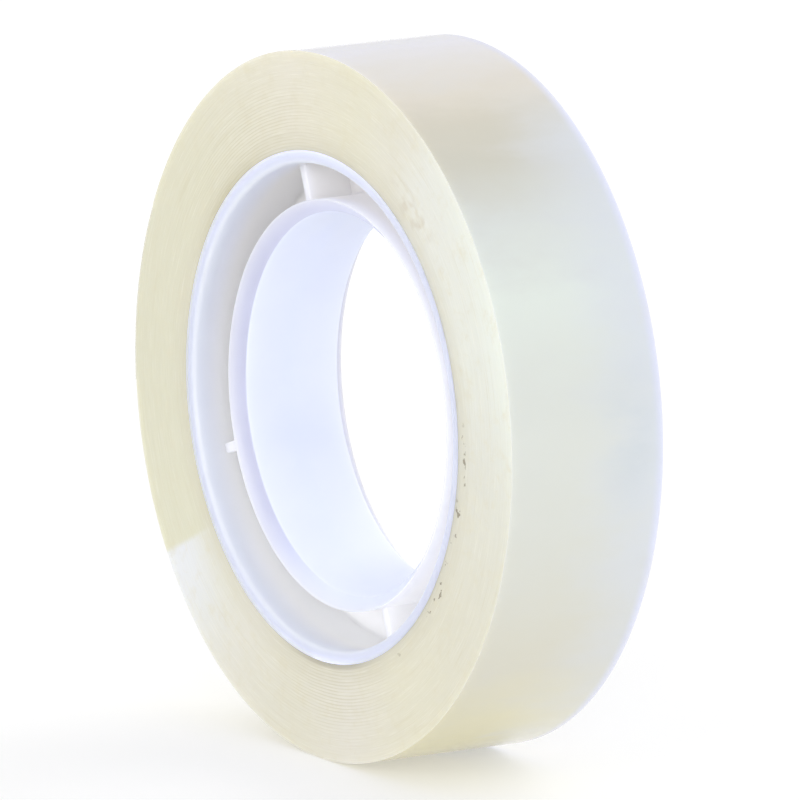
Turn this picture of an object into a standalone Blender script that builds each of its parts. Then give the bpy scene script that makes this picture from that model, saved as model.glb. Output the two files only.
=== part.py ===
"""A roll of clear adhesive tape on a moulded plastic core, standing on its edge.

Frame: the origin is on the roll's axis, midway across the tape. The axis runs
along Y, the core's flush side faces -Y, and +Z is up. All sizes are in metres.
"""

import math

import bmesh
import bpy
from mathutils import Vector

# Wound tape
TAPE_WIDTH = 0.0120
TAPE_DEPTH = 0.0065

# Core: an inner hub and an outer hoop, joined across a channel by a web and radial ribs
HUB_BORE_RADIUS = 0.01315
HUB_WALL = 0.00095
HUB_RECESS = 0.0012
CHANNEL_WIDTH = 0.00255
HOOP_WALL = 0.0009
HOOP_EDGE_ROUND = 0.0003
HOOP_FAR_RECESS = 0.0004
WEB_THICKNESS = 0.0010
RIB_COUNT = 4
RIB_THICKNESS = 0.0007
RIB_RECESS = 0.0020
FIRST_RIB_ANGLE = math.radians(20)

# Free end of the tape: it lies on the back of the roll and lifts about its upper edge
END_THICKNESS = 0.0003
END_ROOT_ANGLE = math.radians(155)
END_FLATS = 3

# Clearances between neighbouring pieces
CORE_TO_TAPE = 0.0003
TAPE_TO_END = 0.0003

# Round pieces have this many flats, wide enough for the roll to stand on one of them
TURN_STEPS = 36
STEP_ANGLE = math.tau / TURN_STEPS
EDGE_STEPS = 2

# Places that follow from the sizes above, across the tape and outwards from the bore
TAPE_NEAR = -TAPE_WIDTH / 2
CORE_NEAR = TAPE_NEAR
CORE_FAR = TAPE_NEAR + TAPE_WIDTH - HOOP_FAR_RECESS
CORE_WIDTH = CORE_FAR - CORE_NEAR
CORE_MIDDLE = (CORE_NEAR + CORE_FAR) / 2
HUB_OUTER_RADIUS = HUB_BORE_RADIUS + HUB_WALL
HOOP_INNER_RADIUS = HUB_OUTER_RADIUS + CHANNEL_WIDTH
CORE_RADIUS = HOOP_INNER_RADIUS + HOOP_WALL
WINDING_INNER_RADIUS = CORE_RADIUS + CORE_TO_TAPE
ROLL_RADIUS = WINDING_INNER_RADIUS + TAPE_DEPTH


def clear_scene():
    for old in list(bpy.data.objects):
        bpy.data.objects.remove(old, do_unlink=True)


def plastic(name, colour, roughness):
    material = bpy.data.materials.new(name)
    material.use_nodes = True
    shader = material.node_tree.nodes["Principled BSDF"]
    shader.inputs["Base Color"].default_value = (*colour, 1.0)
    shader.inputs["Roughness"].default_value = roughness
    shader.inputs["Metallic"].default_value = 0.0
    return material


def at_angle(radius, angle, across=0.0):
    """The point at this radius and angle about the roll's axis, counted from +X towards +Z."""
    return Vector((radius * math.cos(angle), across, radius * math.sin(angle)))


def put_in_scene(name, shape, material, parent):
    mesh = bpy.data.meshes.new(name)
    shape.to_mesh(mesh)
    shape.free()
    mesh.materials.append(material)
    mesh.shade_smooth()
    mesh.set_sharp_from_angle(angle=math.radians(30))
    piece = bpy.data.objects.new(name, mesh)
    bpy.context.collection.objects.link(piece)
    piece.parent = parent
    return piece


def empty(name, place):
    marker = bpy.data.objects.new(name, None)
    marker.location = place
    bpy.context.collection.objects.link(marker)
    return marker


def swept(section, start_angle, steps, full_turn):
    """A closed (radius, across) section carried round the roll's axis in flats.

    Its corners stand out a little, so that the middle of each flat is at the section's radius.
    """
    reach = 1 / math.cos(STEP_ANGLE / 2)
    shape = bmesh.new()
    corners = [
        shape.verts.new(at_angle(radius * reach, start_angle, across)) for radius, across in section
    ]
    rim = [shape.edges.new(pair) for pair in zip(corners, corners[1:] + corners[:1])]
    start = [] if full_turn else [shape.faces.new(corners)]
    # A positive turn about Y runs from +Z towards +X, so counting up from +X is negative.
    bmesh.ops.spin(
        shape,
        geom=corners + rim + start,
        cent=(0, 0, 0),
        axis=(0, 1, 0),
        angle=-steps * STEP_ANGLE,
        steps=steps,
        use_merge=full_turn,
    )
    bmesh.ops.recalc_face_normals(shape, faces=shape.faces)
    return shape


def rounded_edge(centre_radius, centre_across, start_angle):
    """A quarter circle of the hoop's edge, as section points."""
    points = []
    for step in range(EDGE_STEPS + 1):
        angle = start_angle + step * math.pi / 2 / EDGE_STEPS
        radius = centre_radius + HOOP_EDGE_ROUND * math.cos(angle)
        across = centre_across + HOOP_EDGE_ROUND * math.sin(angle)
        points.append((radius, across))
    return points


def core_section():
    """The core's section, from the hoop's flush edge out, across the far side and back inside."""
    outer = CORE_RADIUS - HOOP_EDGE_ROUND
    inner = HOOP_INNER_RADIUS + HOOP_EDGE_ROUND
    near = CORE_NEAR + HOOP_EDGE_ROUND
    far = CORE_FAR - HOOP_EDGE_ROUND
    web_near = CORE_MIDDLE - WEB_THICKNESS / 2
    web_far = CORE_MIDDLE + WEB_THICKNESS / 2
    hub_near = CORE_NEAR + HUB_RECESS
    hub_far = CORE_FAR - HUB_RECESS
    return [
        *rounded_edge(inner, near, math.radians(180)),
        *rounded_edge(outer, near, math.radians(270)),
        *rounded_edge(outer, far, 0.0),
        *rounded_edge(inner, far, math.radians(90)),
        (HOOP_INNER_RADIUS, web_far),
        (HUB_OUTER_RADIUS, web_far),
        (HUB_OUTER_RADIUS, hub_far),
        (HUB_BORE_RADIUS, hub_far - HUB_WALL),
        (HUB_BORE_RADIUS, hub_near + HUB_WALL),
        (HUB_OUTER_RADIUS, hub_near),
        (HUB_OUTER_RADIUS, web_near),
        (HOOP_INNER_RADIUS, web_near),
    ]


def rib(number, material, parent):
    """One rib, running through the web from side to side and into the walls of the hub and the hoop."""
    inside = HUB_OUTER_RADIUS - HUB_WALL / 2
    outside = HOOP_INNER_RADIUS + HOOP_WALL / 2
    size = (outside - inside, CORE_WIDTH - 2 * RIB_RECESS, RIB_THICKNESS)
    shape = bmesh.new()
    bmesh.ops.create_cube(shape, size=1.0)
    bmesh.ops.scale(shape, vec=size, verts=shape.verts)
    bmesh.ops.translate(shape, vec=((inside + outside) / 2, CORE_MIDDLE, 0), verts=shape.verts)
    piece = put_in_scene(f"rib_{number}", shape, material, parent)
    piece.rotation_euler.y = -(FIRST_RIB_ANGLE + number * math.tau / RIB_COUNT)
    piece.hide_render = True
    piece.display_type = "WIRE"
    return piece


def make_core(parent):
    material = plastic("core_plastic", (0.90, 0.92, 0.98), 0.38)
    shape = swept(core_section(), STEP_ANGLE / 2, TURN_STEPS, full_turn=True)
    core = put_in_scene("core", shape, material, parent)
    for number in range(RIB_COUNT):
        join = core.modifiers.new(f"join_rib_{number}", "BOOLEAN")
        join.operation = "UNION"
        join.solver = "EXACT"
        join.object = rib(number, material, parent)
    return core


def make_winding(material, parent):
    """All the wound turns as one ring. A flat of the ring is lowest, so that the roll stands still."""
    section = [
        (WINDING_INNER_RADIUS, TAPE_NEAR),
        (ROLL_RADIUS, TAPE_NEAR),
        (ROLL_RADIUS, TAPE_NEAR + TAPE_WIDTH),
        (WINDING_INNER_RADIUS, TAPE_NEAR + TAPE_WIDTH),
    ]
    shape = swept(section, STEP_ANGLE / 2, TURN_STEPS, full_turn=True)
    return put_in_scene("tape_winding", shape, material, parent)


def make_end(material, parent):
    """The loose end, lying along the roll's flats. Its origin is on the line where it leaves the roll."""
    inner = ROLL_RADIUS + TAPE_TO_END
    section = [
        (inner, TAPE_NEAR),
        (inner + END_THICKNESS, TAPE_NEAR),
        (inner + END_THICKNESS, TAPE_NEAR + TAPE_WIDTH),
        (inner, TAPE_NEAR + TAPE_WIDTH),
    ]
    shape = swept(section, END_ROOT_ANGLE, END_FLATS, full_turn=False)
    hinge = empty("end_peel_axis", at_angle(inner, END_ROOT_ANGLE))
    hinge.parent = parent
    bmesh.ops.translate(shape, vec=-hinge.location, verts=shape.verts)
    return put_in_scene("tape_end", shape, material, hinge)


def main():
    clear_scene()
    axis = empty("roll_axis", (0, 0, 0))
    tape = plastic("clear_tape", (0.88, 0.85, 0.72), 0.22)
    make_core(axis)
    make_winding(tape, axis)
    make_end(tape, axis)


main()
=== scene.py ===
import math
import random
from types import SimpleNamespace

import bmesh
import bpy
from mathutils import Color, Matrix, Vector


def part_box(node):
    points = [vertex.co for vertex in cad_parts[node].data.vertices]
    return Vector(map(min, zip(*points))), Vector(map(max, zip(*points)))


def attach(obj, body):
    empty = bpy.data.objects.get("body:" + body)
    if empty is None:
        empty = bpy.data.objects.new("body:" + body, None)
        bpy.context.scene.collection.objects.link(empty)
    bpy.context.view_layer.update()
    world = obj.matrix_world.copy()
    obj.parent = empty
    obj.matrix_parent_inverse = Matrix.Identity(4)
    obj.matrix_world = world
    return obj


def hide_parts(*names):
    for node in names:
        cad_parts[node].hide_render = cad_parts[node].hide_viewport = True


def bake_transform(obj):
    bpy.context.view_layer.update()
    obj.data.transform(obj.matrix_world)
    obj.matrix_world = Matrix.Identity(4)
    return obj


# A roll of clear adhesive tape on a white moulded core, standing on its edge.
# Metres, +Z up. The roll's axis is Y and the core's flush side faces -Y.
# Angles round the roll count from +X towards +Z.

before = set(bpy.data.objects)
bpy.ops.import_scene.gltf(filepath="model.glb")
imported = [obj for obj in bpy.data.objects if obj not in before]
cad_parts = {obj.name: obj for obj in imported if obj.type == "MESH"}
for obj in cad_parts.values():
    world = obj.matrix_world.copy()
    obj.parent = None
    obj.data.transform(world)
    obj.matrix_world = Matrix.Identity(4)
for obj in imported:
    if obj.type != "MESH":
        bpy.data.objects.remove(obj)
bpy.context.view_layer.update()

coreBox = [Vector(corner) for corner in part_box("core")]
windingBox = [Vector(corner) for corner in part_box("tape_winding")]
rollRadius = (windingBox[1].z - windingBox[0].z) / 2
coreRadius = (coreBox[1].z - coreBox[0].z) / 2
nearFace = windingBox[0].y
farFace = windingBox[1].y
tapeWidth = farFace - nearFace
smoothAngle = math.radians(35)      # edges sharper than this stay sharp
tiny = 1e-6


class Wire:
    # one socket of a shader tree, which can be used in sums
    def __init__(self, tree, socket=None):
        self.tree = tree
        self.socket = socket

    def add(self, kind, settings=None, values=None, out=0):
        node = self.tree.nodes.new("ShaderNode" + kind)
        for name, value in (settings or {}).items():
            if name == "stops":
                self.setStops(node.color_ramp, value)
            else:
                setattr(node, name, value)
        for name, value in (values or {}).items():
            if isinstance(value, Wire):
                self.tree.links.new(value.socket, node.inputs[name])
            else:
                node.inputs[name].default_value = value
        return Wire(self.tree, node.outputs[out])

    def setStops(self, ramp, stops):
        while len(ramp.elements) < len(stops):
            ramp.elements.new(1.0)
        for element, (place, colour) in zip(ramp.elements, stops):
            element.position = place
            element.color = colour

    def sum(self, operation, first, second=0.0):
        return self.add("Math", {"operation": operation}, {0: first, 1: second})

    def __add__(self, other):
        return self.sum("ADD", self, other)

    def __radd__(self, other):
        return self.sum("ADD", other, self)

    def __sub__(self, other):
        return self.sum("SUBTRACT", self, other)

    def __rsub__(self, other):
        return self.sum("SUBTRACT", other, self)

    def __mul__(self, other):
        return self.sum("MULTIPLY", self, other)

    def __rmul__(self, other):
        return self.sum("MULTIPLY", other, self)

    def __truediv__(self, other):
        return self.sum("DIVIDE", self, other)

    def __pow__(self, other):
        return self.sum("POWER", self, other)

    def between(self, low, high):
        # 0 below low, 1 above high, smooth in between
        return self.add("MapRange", {"interpolation_type": "SMOOTHSTEP"},
                        {"Value": self, "From Min": low, "From Max": high})

    def past(self, place, border):
        # 0 before this place and 1 past it, with the border's two ends counted from the place
        return self.between(place + border[0], place + border[1])

    def near(self, centre, width):
        # 1 at the centre, falling to 0 at this width on either side
        return 1 - self.sum("ABSOLUTE", self - centre).between(0.0, width)

    def choose(self, low, high):
        # the low colour where this is 0 and the high one where it is 1
        return self.add("Mix", {"data_type": "RGBA"}, {0: self, 6: low, 7: high}, 2)

    def mixed(self, other, amount):
        # this colour turned into the other one by the amount
        return amount.choose(self, other)


def tone(red, green, blue):
    colour = Color((red, green, blue)).from_srgb_to_scene_linear()
    return (colour.r, colour.g, colour.b, 1.0)


def newMaterial(name, fixed):
    # a Principled material with its uniform values set on the shader itself
    material = bpy.data.materials.new(name)
    material.use_nodes = True
    shader = material.node_tree.nodes["Principled BSDF"]
    for socket, value in fixed.items():
        shader.inputs[socket].default_value = value
    return material, shader, Wire(material.node_tree)


def feed(shader, socket, wire):
    wire.tree.links.new(wire.socket, shader.inputs[socket])


def feedBump(shader, strength, distance, height):
    feed(shader, "Normal", height.add("Bump", values={
        "Strength": strength, "Distance": distance, "Height": height}))


def rollPlace(wires):
    # where a point is on the roll; the turn is -0.5 to 0.5 and is 0 at +X
    place = wires.add("TexCoord", out=3)
    x, y, z = [wires.add("SeparateXYZ", values={0: place}, out=axis) for axis in range(3)]
    radius = wires.sum("SQRT", x * x + z * z)
    turn = wires.sum("ARCTAN2", z, x) / math.tau
    return SimpleNamespace(place=place, radius=radius, across=y, turn=turn,
                           cosine=x / radius, sine=z / radius)


def noiseAt(vector, scale, detail=2.0, roughness=0.5):
    return vector.add("TexNoise", values={
        "Vector": vector, "Scale": scale, "Detail": detail, "Roughness": roughness})


def woundNoise(at, distance, around, fineness, detail=2.0, roughness=0.5):
    # noise drawn out along the turns: how fine it is round the roll and along the distance
    vector = distance.add("CombineXYZ", values={
        0: at.cosine * around, 1: distance * fineness, 2: at.sine * around})
    return noiseAt(vector, 1.0, detail, roughness)


def asObject(name, shape, *materials):
    mesh = bpy.data.meshes.new(name)
    shape.to_mesh(mesh)
    shape.free()
    for material in materials:
        mesh.materials.append(material)
    mesh.shade_smooth()
    mesh.set_sharp_from_angle(angle=smoothAngle)
    piece = bpy.data.objects.new(name, mesh)
    bpy.context.collection.objects.link(piece)
    return piece


def settle(piece):
    # turns the piece's modifiers into its mesh
    graph = bpy.context.evaluated_depsgraph_get()
    settled = bpy.data.meshes.new_from_object(piece.evaluated_get(graph))
    piece.modifiers.clear()
    old = piece.data
    piece.data = settled
    bpy.data.meshes.remove(old)
    piece.data.shade_smooth()
    piece.data.set_sharp_from_angle(angle=smoothAngle)


def turned(outline, segments):
    # a closed (radius, across) outline carried once round the roll's axis
    shape = bmesh.new()
    corners = [shape.verts.new((radius, across, 0.0)) for radius, across in outline]
    rim = [shape.edges.new(pair) for pair in zip(corners, corners[1:] + corners[:1])]
    bmesh.ops.spin(shape, geom=corners + rim, cent=(0, 0, 0), axis=(0, 1, 0),
                   angle=-math.tau, steps=segments, use_merge=True)
    bmesh.ops.remove_doubles(shape, verts=shape.verts, dist=tiny / 10)
    bmesh.ops.recalc_face_normals(shape, faces=shape.faces)
    return shape


def radiusOf(point):
    return math.hypot(point.x, point.z)


def angleOf(point):
    return math.degrees(math.atan2(point.z, point.x)) % 360


def isOn(edge, radius, across):
    return all(abs(radiusOf(end.co) - radius) < tiny and abs(end.co.y - across) < tiny
               for end in edge.verts)


def roundEdges(shape, edges, width, segments):
    bmesh.ops.bevel(shape, geom=edges, offset=width, offset_type="OFFSET", segments=segments,
                    profile=0.5, affect="EDGES", material=-1)


def roundRings(shape, rings, width, segments):
    # rounds the circular corners at these (radius, across) places
    edges = [edge for edge in shape.edges
             if any(isOn(edge, radius, across) for radius, across in rings)]
    roundEdges(shape, edges, width, segments)


moulding = {
    "segments": 256,
    "hoopWall": 0.0009,
    "hoopInnerRound": 0.00035,
    "hubBore": 0.01315,
    "hubWall": 0.00095,
    "hubRecess": 0.0012,
    "hubRound": 0.00012,
    "webRecess": 0.0053,
    "filletRadius": 0.0002,
    "ribCount": 4,
    "ribThickness": 0.0007,
    "ribRound": 0.22,           # as a share of the rib's thickness
    "ribRecess": 0.0020,
    "firstRib": 20.0,
    "light": (0.852, 0.876, 1.0),
    "deep": (0.842, 0.866, 0.998),
    # painted shade in the deep channel, darker towards the top of the roll
    "shadedChannelTop": (0.833, 0.826, 0.833),
    "shadedChannelLow": (0.912, 0.910, 0.922),
    "through": (0.085, 0.086, 0.078, 1.0),      # painted glow for the light that comes through the channel's walls
    # painted shade: a darker, bluer copy of the plastic for the hoop's edge
    "rim": (0.778, 0.800, 0.948),
    "paintedEdgeGlow": (0.52, 0.54, 0.62, 1.0),        # painted glow for the light that the tape passes into the hoop's edge
    # painted shade on the hub's ends, darkest on the -X side and palest at the bottom
    "ends": (0.765, 0.772, 0.848),
    "shadedLeftEnds": (0.692, 0.699, 0.762),
    "litLowEnds": (0.822, 0.848, 0.950),
    # the tints' soft borders, in metres from the wall that each belongs to
    "hubBorder": (-0.0002, -0.00005),
    "hubCornerBorder": (-0.00003, -0.000005),
    "boreBorder": (0.00001, 0.00006),
    "hoopBorder": (0.00005, 0.0003),
    "channelDepth": (0.0002, 0.0028),
    "rimDepth": 0.0008,
    "cloudScale": 150.0,
    "grainScale": 5200.0,
    "turningMarks": (2.0, 3000.0),      # how fine round the roll and across it
}


def corePlastic():
    look = moulding
    material, shader, wires = newMaterial("whiteMoulding", {
        "Roughness": 0.34,
        "IOR": 1.49,
        "Subsurface Weight": 1.0,
        "Subsurface Radius": (1.0, 0.98, 1.0),
        "Subsurface Scale": 0.003,
        "Emission Strength": 1.0,
    })
    at = rollPlace(wires)
    hubOuter = look["hubBore"] + look["hubWall"]
    hoopInner = coreRadius - look["hoopWall"]
    depth = tapeWidth / 2 - wires.sum("ABSOLUTE", at.across)
    cloud = noiseAt(at.place, look["cloudScale"], 3.0)
    grain = noiseAt(at.place, look["grainScale"])
    turning = woundNoise(at, at.across, *look["turningMarks"])
    colour = cloud.between(0.35, 0.65).choose(tone(*look["deep"]), tone(*look["light"]))
    # painted shade: the deep channel between hub and hoop is greyer, darkest towards the top of the roll,
    # and a painted glow stands in for the light that comes through its thin walls
    inWalls = at.radius.past(hubOuter, look["hubBorder"])
    inWalls = inWalls * (1 - at.radius.past(hoopInner, look["hoopBorder"]))
    inChannel = inWalls * depth.between(*look["channelDepth"])
    upward = at.sine.between(-0.95, 0.95)
    channelShade = upward.choose(tone(*look["shadedChannelLow"]), tone(*look["shadedChannelTop"]))
    colour = colour.mixed(channelShade, inChannel)
    # painted shade: the hub's ends are darker than their bore, most of all on the -X side, with painted
    # light making them paler towards the bottom
    ends = at.radius.past(look["hubBore"], look["boreBorder"])
    ends = ends * (1 - at.radius.past(hubOuter, look["hubCornerBorder"]))
    low = (at.sine * -1.0).between(0.2, 0.95)
    left = (at.cosine * -1.0).between(0.0, 0.9)
    endShade = low.choose(tone(*look["ends"]), tone(*look["litLowEnds"]))
    endShade = endShade.mixed(tone(*look["shadedLeftEnds"]), left)
    colour = colour.mixed(endShade, ends * (0.8 + 0.2 * cloud))
    # painted shade: a darker, bluer copy of the plastic on the hoop's edge, and a painted glow along its
    # outer part, weaker on the +X side, for the light that the tape passes into it
    atEdge = depth.near(0.0, look["rimDepth"])
    colour = colour.mixed(tone(*look["rim"]), at.radius.past(hoopInner, look["hoopBorder"]) * atEdge)
    outward = (at.radius - hoopInner) / look["hoopWall"]
    lit = outward.between(0.0, 0.02) * outward ** 3.0 * (1 - 0.7 * at.cosine.between(0.0, 0.8))
    paintedGlow = inChannel.choose(tone(0, 0, 0), look["through"])
    feed(shader, "Base Color", colour)
    feed(shader, "Emission Color", paintedGlow.mixed(look["paintedEdgeGlow"], lit * atEdge))
    feed(shader, "Roughness", 0.30 + 0.10 * cloud)
    feedBump(shader, 0.08, 0.00004, grain * 0.5 + turning * 0.5)
    return material


def coreOutline():
    look = moulding
    near, far = coreBox[0].y, coreBox[1].y
    bore, wall = look["hubBore"], look["hubWall"]
    hoopInner = coreRadius - look["hoopWall"]
    hubOuter = bore + wall
    webNear, webFar = near + look["webRecess"], far - look["webRecess"]
    hubNear, hubFar = near + look["hubRecess"], far - look["hubRecess"]
    hubEnds = [(hubOuter, hubFar), (bore, hubFar - wall), (bore, hubNear + wall), (hubOuter, hubNear)]
    return {
        "outline": [
            (hoopInner, near), (coreRadius, near), (coreRadius, far), (hoopInner, far),
            (hoopInner, webFar), (hubOuter, webFar), *hubEnds, (hubOuter, webNear), (hoopInner, webNear),
        ],
        "innerRims": [(hoopInner, near), (hoopInner, far)],
        "hubEnds": hubEnds,
        "fillets": [(hoopInner, webFar), (hubOuter, webFar), (hubOuter, webNear), (hoopInner, webNear)],
        "ribInside": hubOuter - wall / 2,
        "ribOutside": hoopInner + look["hoopWall"] / 2,
    }


def ribBlade(number, places):
    # one rib, through the web from side to side, with its long edges rounded
    look = moulding
    near, far = coreBox[0].y, coreBox[1].y
    length = places["ribOutside"] - places["ribInside"]
    middle = (places["ribOutside"] + places["ribInside"]) / 2
    shape = bmesh.new()
    bmesh.ops.create_cube(shape, size=1.0)
    bmesh.ops.scale(shape, verts=shape.verts,
                    vec=(length, far - near - 2 * look["ribRecess"], look["ribThickness"]))
    alongEdges = [edge for edge in shape.edges
                  if abs(edge.verts[0].co.x - edge.verts[1].co.x) > length / 2]
    roundEdges(shape, alongEdges, look["ribThickness"] * look["ribRound"], 3)
    bmesh.ops.translate(shape, verts=shape.verts, vec=(middle, (near + far) / 2, 0))
    turn = math.radians(look["firstRib"] + number * 360.0 / look["ribCount"])
    for vert in shape.verts:
        x, z = vert.co.x, vert.co.z
        vert.co.x = x * math.cos(turn) - z * math.sin(turn)
        vert.co.z = x * math.sin(turn) + z * math.cos(turn)
    return asObject(f"ribBlade{number}", shape)


def makeCore():
    look = moulding
    material = corePlastic()
    places = coreOutline()
    shape = turned(places["outline"], look["segments"])
    roundRings(shape, places["innerRims"], look["hoopInnerRound"], 5)
    roundRings(shape, places["hubEnds"], look["hubRound"], 3)
    roundRings(shape, places["fillets"], look["filletRadius"], 3)
    core = asObject("coreMoulding", shape, material)
    for number in range(look["ribCount"]):
        blade = ribBlade(number, places)
        join = core.modifiers.new("join", "BOOLEAN")
        join.operation = "UNION"
        join.solver = "EXACT"
        join.object = blade
        settle(core)
        bpy.data.objects.remove(blade, do_unlink=True)
    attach(core, "roll")
    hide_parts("core")
    print("core: ring, hub, web and", look["ribCount"], "ribs")


winding = {
    "segments": 288,
    "layers": 62,
    "unevenness": 0.000016,
    "lap": 0.00002,             # how far the first turns lie over the core's outside
    "film": 0.00006,            # how far the outermost turn steps down under the free end
    "root": 155.0,
    "wedgeCentre": 274.0,       # a narrow gap between the core and the first turns
    "wedgeHalf": 11.0,
    "wedgeDepth": 0.00009,
    "wedgeReach": 0.0004,
    "sideReach": 0.0002,        # surface faces are within this of the roll's radius,
    "cornerReach": 0.0001,      # and at least this far from its two sides
    "tints": [
        (-180, (0.795, 0.788, 0.704)),
        (-145, (0.806, 0.800, 0.712)),
        (-120, (0.822, 0.812, 0.764)),
        (-100, (0.815, 0.802, 0.735)),
        (-80, (0.826, 0.812, 0.768)),
        (-60, (0.822, 0.808, 0.727)),
        (-35, (0.804, 0.794, 0.728)),
        (0, (0.808, 0.808, 0.766)),
        (20, (0.830, 0.838, 0.803)),
        (52, (0.828, 0.828, 0.797)),
        (61, (0.815, 0.805, 0.752)),
        (80, (0.819, 0.805, 0.724)),
        (100, (0.829, 0.812, 0.752)),
        (140, (0.801, 0.791, 0.706)),
        (180, (0.795, 0.788, 0.704)),
    ],
    "waver": 0.03,
    # a darker tint for the turns next to the core
    "darkerNearCore": (0.760, 0.742, 0.668),
    "whitish": (0.850, 0.868, 0.838),
    "smudge": (0.744, 0.711, 0.642),
    "ringDark": (0.715, 0.690, 0.575),
    "milky": (0.842, 0.850, 0.860),
    "lineDark": (0.744, 0.711, 0.586),
    "linePale": (0.921, 0.916, 0.874),
    "mottled": (0.800, 0.777, 0.684),
    "speck": (0.47, 0.43, 0.35),
    "gapDark": (0.512, 0.484, 0.419),
    # noises: how fine round the roll, how fine outwards, detail, roughness
    "lines": (3.0, 7000.0, 3.0, 0.65),
    "fineLines": (9.0, 22000.0, 2.0, 0.5),
    "mottle": (16.0, 700.0, 4.0, 0.7),
    "patches": (2.2, 260.0, 2.0, 0.5),
    "blots": (13.0, 900.0, 2.0, 0.5),
    "dots": (22.0, 1500.0, 3.0, 0.6),
    # where the marks are: degrees from +X, and how far they reach to either side
    "palerAt": (22.0, 42.0),
    "smudgeAt": (52.0, 14.0),
    "upperRowsAt": (118.0, 42.0),
    "lowerRowsAt": (-85.0, 30.0),
    "cornerAt": (133.0, 26.0),
    "voidsAt": (-26.0, 44.0),
    "gapAt": (-86.0, 26.0),
    "milkyStart": (-144.0, -142.5),
    "milkyFade": (-143.0, -116.0),
    "milkySlant": 3.0,
    "rowSpacing": 0.00023,
    "voidRing": (0.0006, 0.0008),       # outwards from the core: the middle, and the reach
    "gapRing": (0.0001, 0.0004),
}


def windingOutline():
    # both side faces step in and out a little from one group of turns to the next
    look = winding
    draw = random.Random(7)
    inner = coreRadius - look["lap"]
    count = look["layers"]
    step = (rollRadius - inner) / count
    nearSide = [(inner, nearFace + look["lap"] / 4)]
    farSide = [(inner, farFace)]
    for layer in range(1, count):
        radius = inner + layer * step
        nearSide.append((radius, nearFace + draw.random() * look["unevenness"]))
        farSide.append((radius, farFace - draw.random() * look["unevenness"]))
    nearSide.append((rollRadius, nearFace))
    farSide.append((rollRadius, farFace))
    return nearSide + farSide[::-1]


def tinted(look, turn, waver):
    # the look's tints round the roll, with their borders shifted a little by the wavering value
    stops = [((angle + 180) / 360, tone(*colour)) for angle, colour in look["tints"]]
    shifted = turn + 0.5 + (waver - 0.5) * look["waver"]
    return shifted.add("ValToRGB", {"stops": stops}, {"Fac": shifted})


def edgeMaterial():
    look = winding
    material, shader, wires = newMaterial("tapeEdges", {
        "Roughness": 0.42,
        "IOR": 1.48,
        "Subsurface Weight": 0.5,
        "Subsurface Radius": (1.0, 0.94, 0.70),
        "Subsurface Scale": 0.0014,
        "Coat Weight": 0.1,
        "Coat Roughness": 0.3,
    })
    at = rollPlace(wires)
    degrees = at.turn * 360.0
    outward = (at.radius - coreRadius) / (rollRadius - coreRadius)
    lines, fineLines, mottle, patches, blots, dots = [
        woundNoise(at, at.radius, *look[name])
        for name in ("lines", "fineLines", "mottle", "patches", "blots", "dots")]
    colour = tinted(look, at.turn, patches)
    # the outer turns are paler on the +X side, and those next to the core are darker
    paler = degrees.near(*look["palerAt"]) * outward.between(0.45, 0.95)
    colour = colour.mixed(tone(*look["whitish"]), paler * 0.8)
    nearCore = 1 - outward.between(0.0, 0.34)
    colour = colour.mixed(tone(*look["darkerNearCore"]), nearCore * (0.20 + 0.60 * patches))
    smudge = degrees.near(*look["smudgeAt"]) * outward.near(0.26, 0.24) * blots.between(0.46, 0.64)
    colour = colour.mixed(tone(*look["smudge"]), smudge * 0.8)
    # rows of turns show as regular fine rings on the inner half, in two stretches of the roll
    ringing = wires.sum("SINE", at.radius * (math.tau / look["rowSpacing"]) + patches * 9.0)
    rows = degrees.near(*look["upperRowsAt"]) + degrees.near(*look["lowerRowsAt"])
    rows = rows * (1 - outward.between(0.35, 0.95))
    colour = colour.mixed(tone(*look["ringDark"]), ringing.between(0.0, 1.0) * rows * mottle * 0.9)
    corner = degrees.near(*look["cornerAt"]) * (1 - outward.between(0.0, 0.16))
    colour = colour.mixed(tone(*look["ringDark"]), corner * 0.8)
    # a milky sector with one abrupt end, where the turns were wound tighter
    start = (degrees + outward * look["milkySlant"]).between(*look["milkyStart"])
    fade = 1 - degrees.between(*look["milkyFade"])
    colour = colour.mixed(tone(*look["milky"]), start * fade * outward.between(-0.1, 0.7))
    # streaks that follow the turns, from the width of a few turns to that of one
    colour = colour.mixed(tone(*look["lineDark"]), lines.between(0.52, 0.80) * 0.32)
    colour = colour.mixed(tone(*look["linePale"]), fineLines.between(0.52, 0.75) * 0.30)
    colour = colour.mixed(tone(*look["mottled"]), mottle.between(0.48, 0.75) * 0.45)
    # small voids between the first turns, and the shade of the narrow gap beside the core
    middle, reach = look["voidRing"]
    voids = dots.between(0.57, 0.68) * at.radius.near(coreRadius + middle, reach)
    voids = voids.between(0.15, 0.6) * degrees.near(*look["voidsAt"]).between(0.0, 0.5)
    colour = colour.mixed(tone(*look["speck"]), voids * 0.8)
    middle, reach = look["gapRing"]
    gap = at.radius.near(coreRadius + middle, reach) * degrees.near(*look["gapAt"])
    colour = colour.mixed(tone(*look["gapDark"]), gap * 0.6)
    feed(shader, "Base Color", colour)
    feed(shader, "Roughness", 0.36 + 0.2 * lines)
    feedBump(shader, 0.45, 0.00003, lines * 0.5 + fineLines * 0.3 + mottle * 0.2)
    return material
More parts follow.
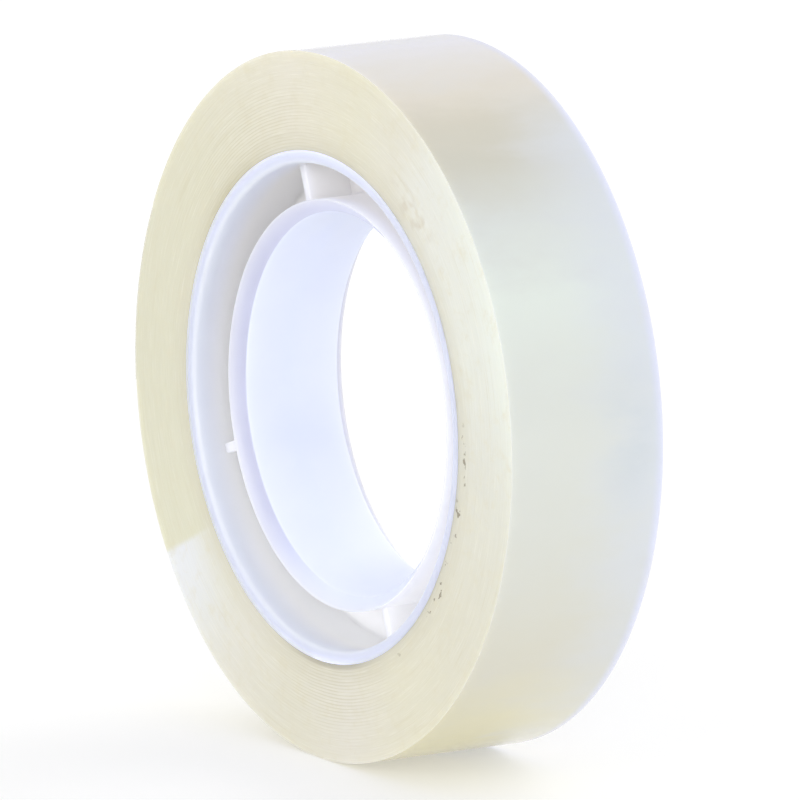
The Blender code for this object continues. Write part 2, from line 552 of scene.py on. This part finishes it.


# soft bands round the tread: painted reflections and shade of the studio light, over the layers that show
# through the clear film; degrees from +X, and their tints
tread = {
    "tints": [
        (-180, (0.823, 0.814, 0.750)),
        (-90, (0.880, 0.850, 0.690)),
        (-62, (0.856, 0.830, 0.672)),
        (-38, (0.810, 0.800, 0.742)),
        (-12, (0.815, 0.823, 0.795)),
        (12, (0.822, 0.838, 0.818)),
        (27, (0.838, 0.865, 0.843)),
        (40, (0.807, 0.823, 0.814)),
        (52, (0.768, 0.761, 0.715)),
        (60, (0.785, 0.767, 0.710)),
        (68, (0.835, 0.812, 0.764)),
        (80, (0.862, 0.850, 0.842)),
        (90, (0.880, 0.874, 0.915)),
        (110, (0.880, 0.875, 0.900)),
        (180, (0.823, 0.814, 0.750)),
    ],
    "waver": 0.035,
    "farTint": (0.810, 0.830, 0.866),
    "farEdge": (0.815, 0.830, 0.925),
    "patch": (0.759, 0.791, 0.810),
    "patchAt": (2.0, 17.0),             # degrees from +X, and how far it reaches
    "patchAcross": (0.80, 0.30),        # the same across the tape, as shares of its width
    "pale": (0.800, 0.800, 0.790),
    "streaks": (7.0, 130.0, 4.0, 0.6),  # how fine round the roll and across it, detail, roughness
    "scuffs": (40.0, 1500.0, 3.0, 0.5),
}


def surfaceMaterial():
    look = tread
    material, shader, wires = newMaterial("tapeSurface", {
        "Roughness": 0.16,
        "IOR": 1.49,
        "Subsurface Weight": 0.3,
        "Subsurface Radius": (1.0, 0.96, 0.80),
        "Subsurface Scale": 0.0012,
        "Coat Weight": 0.5,
        "Coat Roughness": 0.08,
    })
    at = rollPlace(wires)
    streaks = woundNoise(at, at.across, *look["streaks"])
    scuffs = woundNoise(at, at.across, *look["scuffs"])
    width = (at.across - nearFace) / tapeWidth
    # painted reflections and shade, in bands round the roll
    colour = tinted(look, at.turn, streaks)
    # bluer towards the far side, least of all on top
    farness = (width + (streaks - 0.5) * 0.55).between(0.35, 1.05)
    spread = (1 - at.sine.between(0.80, 0.97)) * (0.45 + 0.40 * at.sine.between(-0.85, 0.0))
    colour = colour.mixed(tone(*look["farTint"]), farness * spread)
    colour = colour.mixed(tone(*look["farEdge"]), width.between(0.93, 1.0) * 0.8)
    patch = (at.turn * 360).near(*look["patchAt"]) * width.near(*look["patchAcross"])
    colour = colour.mixed(tone(*look["patch"]), patch * streaks.between(0.30, 0.60) * 0.55)
    colour = colour.mixed(tone(*look["pale"]), streaks.between(0.52, 0.80) * 0.30)
    feed(shader, "Base Color", colour)
    feed(shader, "Roughness", 0.12 + 0.10 * scuffs)
    feedBump(shader, 0.10, 0.0001, streaks * 0.8 + scuffs * 0.2)
    return material


def makeWinding():
    look = winding
    edges, surface = edgeMaterial(), surfaceMaterial()
    shape = turned(windingOutline(), look["segments"])
    for vert in shape.verts:
        radius = radiusOf(vert.co)
        angle = angleOf(vert.co)
        moved = 0.0
        if radius > rollRadius - tiny:
            # the outermost turn rises evenly from under the free end to its root
            moved = -look["film"] * ((look["root"] - angle) % 360) / 360
        elif radius < coreRadius + look["wedgeReach"]:
            share = max(0.0, 1 - abs(angle - look["wedgeCentre"]) / look["wedgeHalf"])
            share = share * share * (3 - 2 * share)
            inside = max(0.0, 1 - (radius - coreRadius) / look["wedgeReach"])
            moved = look["wedgeDepth"] * share * inside
        vert.co.x *= (radius + moved) / radius
        vert.co.z *= (radius + moved) / radius
    near, far = nearFace + look["cornerReach"], farFace - look["cornerReach"]
    for face in shape.faces:
        middle = face.calc_center_median()
        if radiusOf(middle) > rollRadius - look["sideReach"] and near < middle.y < far:
            face.material_index = 1
    body = asObject("windingBody", shape, edges, surface)
    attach(body, "roll")
    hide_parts("tape_winding")
    print("winding:", look["layers"], "groups of turns")


loose = {
    "lengthSteps": 30,
    "acrossSteps": 24,
    "thickness": 0.000045,
    "below": 0.00005,           # how far the film's inner side is inside the roll's radius, at its root
    "tipAngle": 185.0,
    "tipLift": 0.00003,
    "tooth": 0.00035,
    "bend": 0.004,              # the length over which the film bends when it is peeled
    "cream": (0.970, 0.965, 0.930),
    "pale": (0.995, 0.995, 0.985),
    "streaks": (30.0, 900.0, 3.0, 0.5),
}


def filmMaterial():
    look = loose
    material, shader, wires = newMaterial("looseFilm", {
        "Roughness": 0.12,
        "IOR": 1.48,
        "Coat Weight": 0.5,
        "Coat Roughness": 0.05,
        "Alpha": 0.36,
    })
    at = rollPlace(wires)
    streaks = woundNoise(at, at.across, *look["streaks"])
    feed(shader, "Base Color", streaks.between(0.35, 0.7).choose(tone(*look["cream"]), tone(*look["pale"])))
    feed(shader, "Roughness", 0.10 + 0.12 * streaks)
    feedBump(shader, 0.15, 0.00005, streaks)
    return material


def makeFreeEnd():
    look = loose
    root = math.radians(winding["root"])
    spread = math.radians(look["tipAngle"] - winding["root"])
    shape = bmesh.new()
    bmesh.ops.create_grid(shape, x_segments=look["lengthSteps"], y_segments=look["acrossSteps"], size=1.0)
    for vert in shape.verts:
        along = (vert.co.x + 1) / 2
        across = (vert.co.y + 1) / 2
        tooth = 0.0
        if along > 1 - tiny:
            tooth = look["tooth"] * (round(across * look["acrossSteps"]) % 2)
        radius = rollRadius - look["below"] + look["tipLift"] * along ** 2
        angle = root + spread * along - tooth / radius
        vert.co = (radius * math.cos(angle), nearFace + tapeWidth * across, radius * math.sin(angle))
    # faces that point to the axis get their thickness outwards
    bmesh.ops.recalc_face_normals(shape, faces=shape.faces)
    if shape.faces[0].normal.dot(shape.faces[0].calc_center_median()) > 0:
        bmesh.ops.reverse_faces(shape, faces=shape.faces)
    bmesh.ops.solidify(shape, geom=shape.faces, thickness=look["thickness"])
    bmesh.ops.recalc_face_normals(shape, faces=shape.faces)
    film = asObject("freeEnd", shape, filmMaterial())
    along = Vector((-math.sin(root), 0, math.cos(root)))
    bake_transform(film)
    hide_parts("tape_end")
    print("free end: film with a saw-toothed cut")


studio = {
    "azimuth": 58.08,
    "elevation": 11.24,
    "distance": 1.242,
    "lens": 824.0,
    "aimRight": 0.00539,
    "aimUp": 0.00052,
    "world": 0.82,
    "floor": (0.80, 0.80, 0.80),
    "floorPale": (0.81, 0.81, 0.81),
    "floorGlow": 0.35,
    "floorRadius": 6.0,
    # lights: size in metres and power in watts
    "front": (0.45, 3.1),
    "side": (0.5, 2.4),
    "back": (0.9, 4.0),
}


def areaLight(name, place, size, power):
    # a round light that faces the roll
    data = bpy.data.lights.new(name, "AREA")
    data.shape = "DISK"
    data.size = size
    data.energy = power
    lamp = bpy.data.objects.new(name, data)
    lamp.location = place
    lamp.rotation_euler = (-place).to_track_quat("-Z", "Y").to_euler()
    bpy.context.collection.objects.link(lamp)


def makeCamera(right, up, back):
    look = studio
    data = bpy.data.cameras.new("studioCamera")
    data.lens = look["lens"]
    data.sensor_width = 36.0
    data.clip_start = 0.05
    data.clip_end = 50.0
    camera = bpy.data.objects.new("studioCamera", data)
    aim = Vector((0, nearFace, 0)) + right * look["aimRight"] + up * look["aimUp"]
    camera.location = aim + back * look["distance"]
    camera.rotation_euler = back.to_track_quat("Z", "Y").to_euler()
    bpy.context.collection.objects.link(camera)
    bpy.context.scene.camera = camera


def makeFloor():
    look = studio
    shape = bmesh.new()
    bmesh.ops.create_circle(shape, cap_ends=True, segments=96, radius=look["floorRadius"])
    bmesh.ops.translate(shape, verts=shape.verts, vec=(0, 0, -rollRadius))
    material, shader, wires = newMaterial("paleFloor", {
        "Roughness": 0.9,
        "Emission Color": (1.0, 1.0, 1.0, 1.0),
        "Emission Strength": look["floorGlow"],
    })
    speckle = noiseAt(wires.add("TexCoord", out=3), 40.0)
    feed(shader, "Base Color", speckle.choose(tone(*look["floor"]), tone(*look["floorPale"])))
    asObject("paleFloor", shape, material)


def makeStage():
    look = studio
    turn = math.radians(look["azimuth"])
    rise = math.radians(look["elevation"])
    back = Vector((math.sin(turn) * math.cos(rise), -math.cos(turn) * math.cos(rise), math.sin(rise)))
    right = Vector((math.cos(turn), math.sin(turn), 0))
    makeCamera(right, back.cross(right), back)
    makeFloor()
    world = bpy.data.worlds.new("studioAir")
    bpy.context.scene.world = world
    world.use_nodes = True
    air = world.node_tree.nodes["Background"]
    air.inputs["Color"].default_value = (1.0, 1.0, 1.0, 1.0)
    air.inputs["Strength"].default_value = look["world"]
    areaLight("frontLight", back * 1.1 + right * 0.05, *look["front"])
    areaLight("sideLight", Vector((0.12, -0.95, 0.25)), *look["side"])
    areaLight("backLight", Vector((-0.20, 0.85, 0.50)), *look["back"])
    bpy.context.scene.view_settings.view_transform = "Standard"
    print("stage, lights and camera")


makeStage()
makeCore()
makeWinding()
makeFreeEnd()
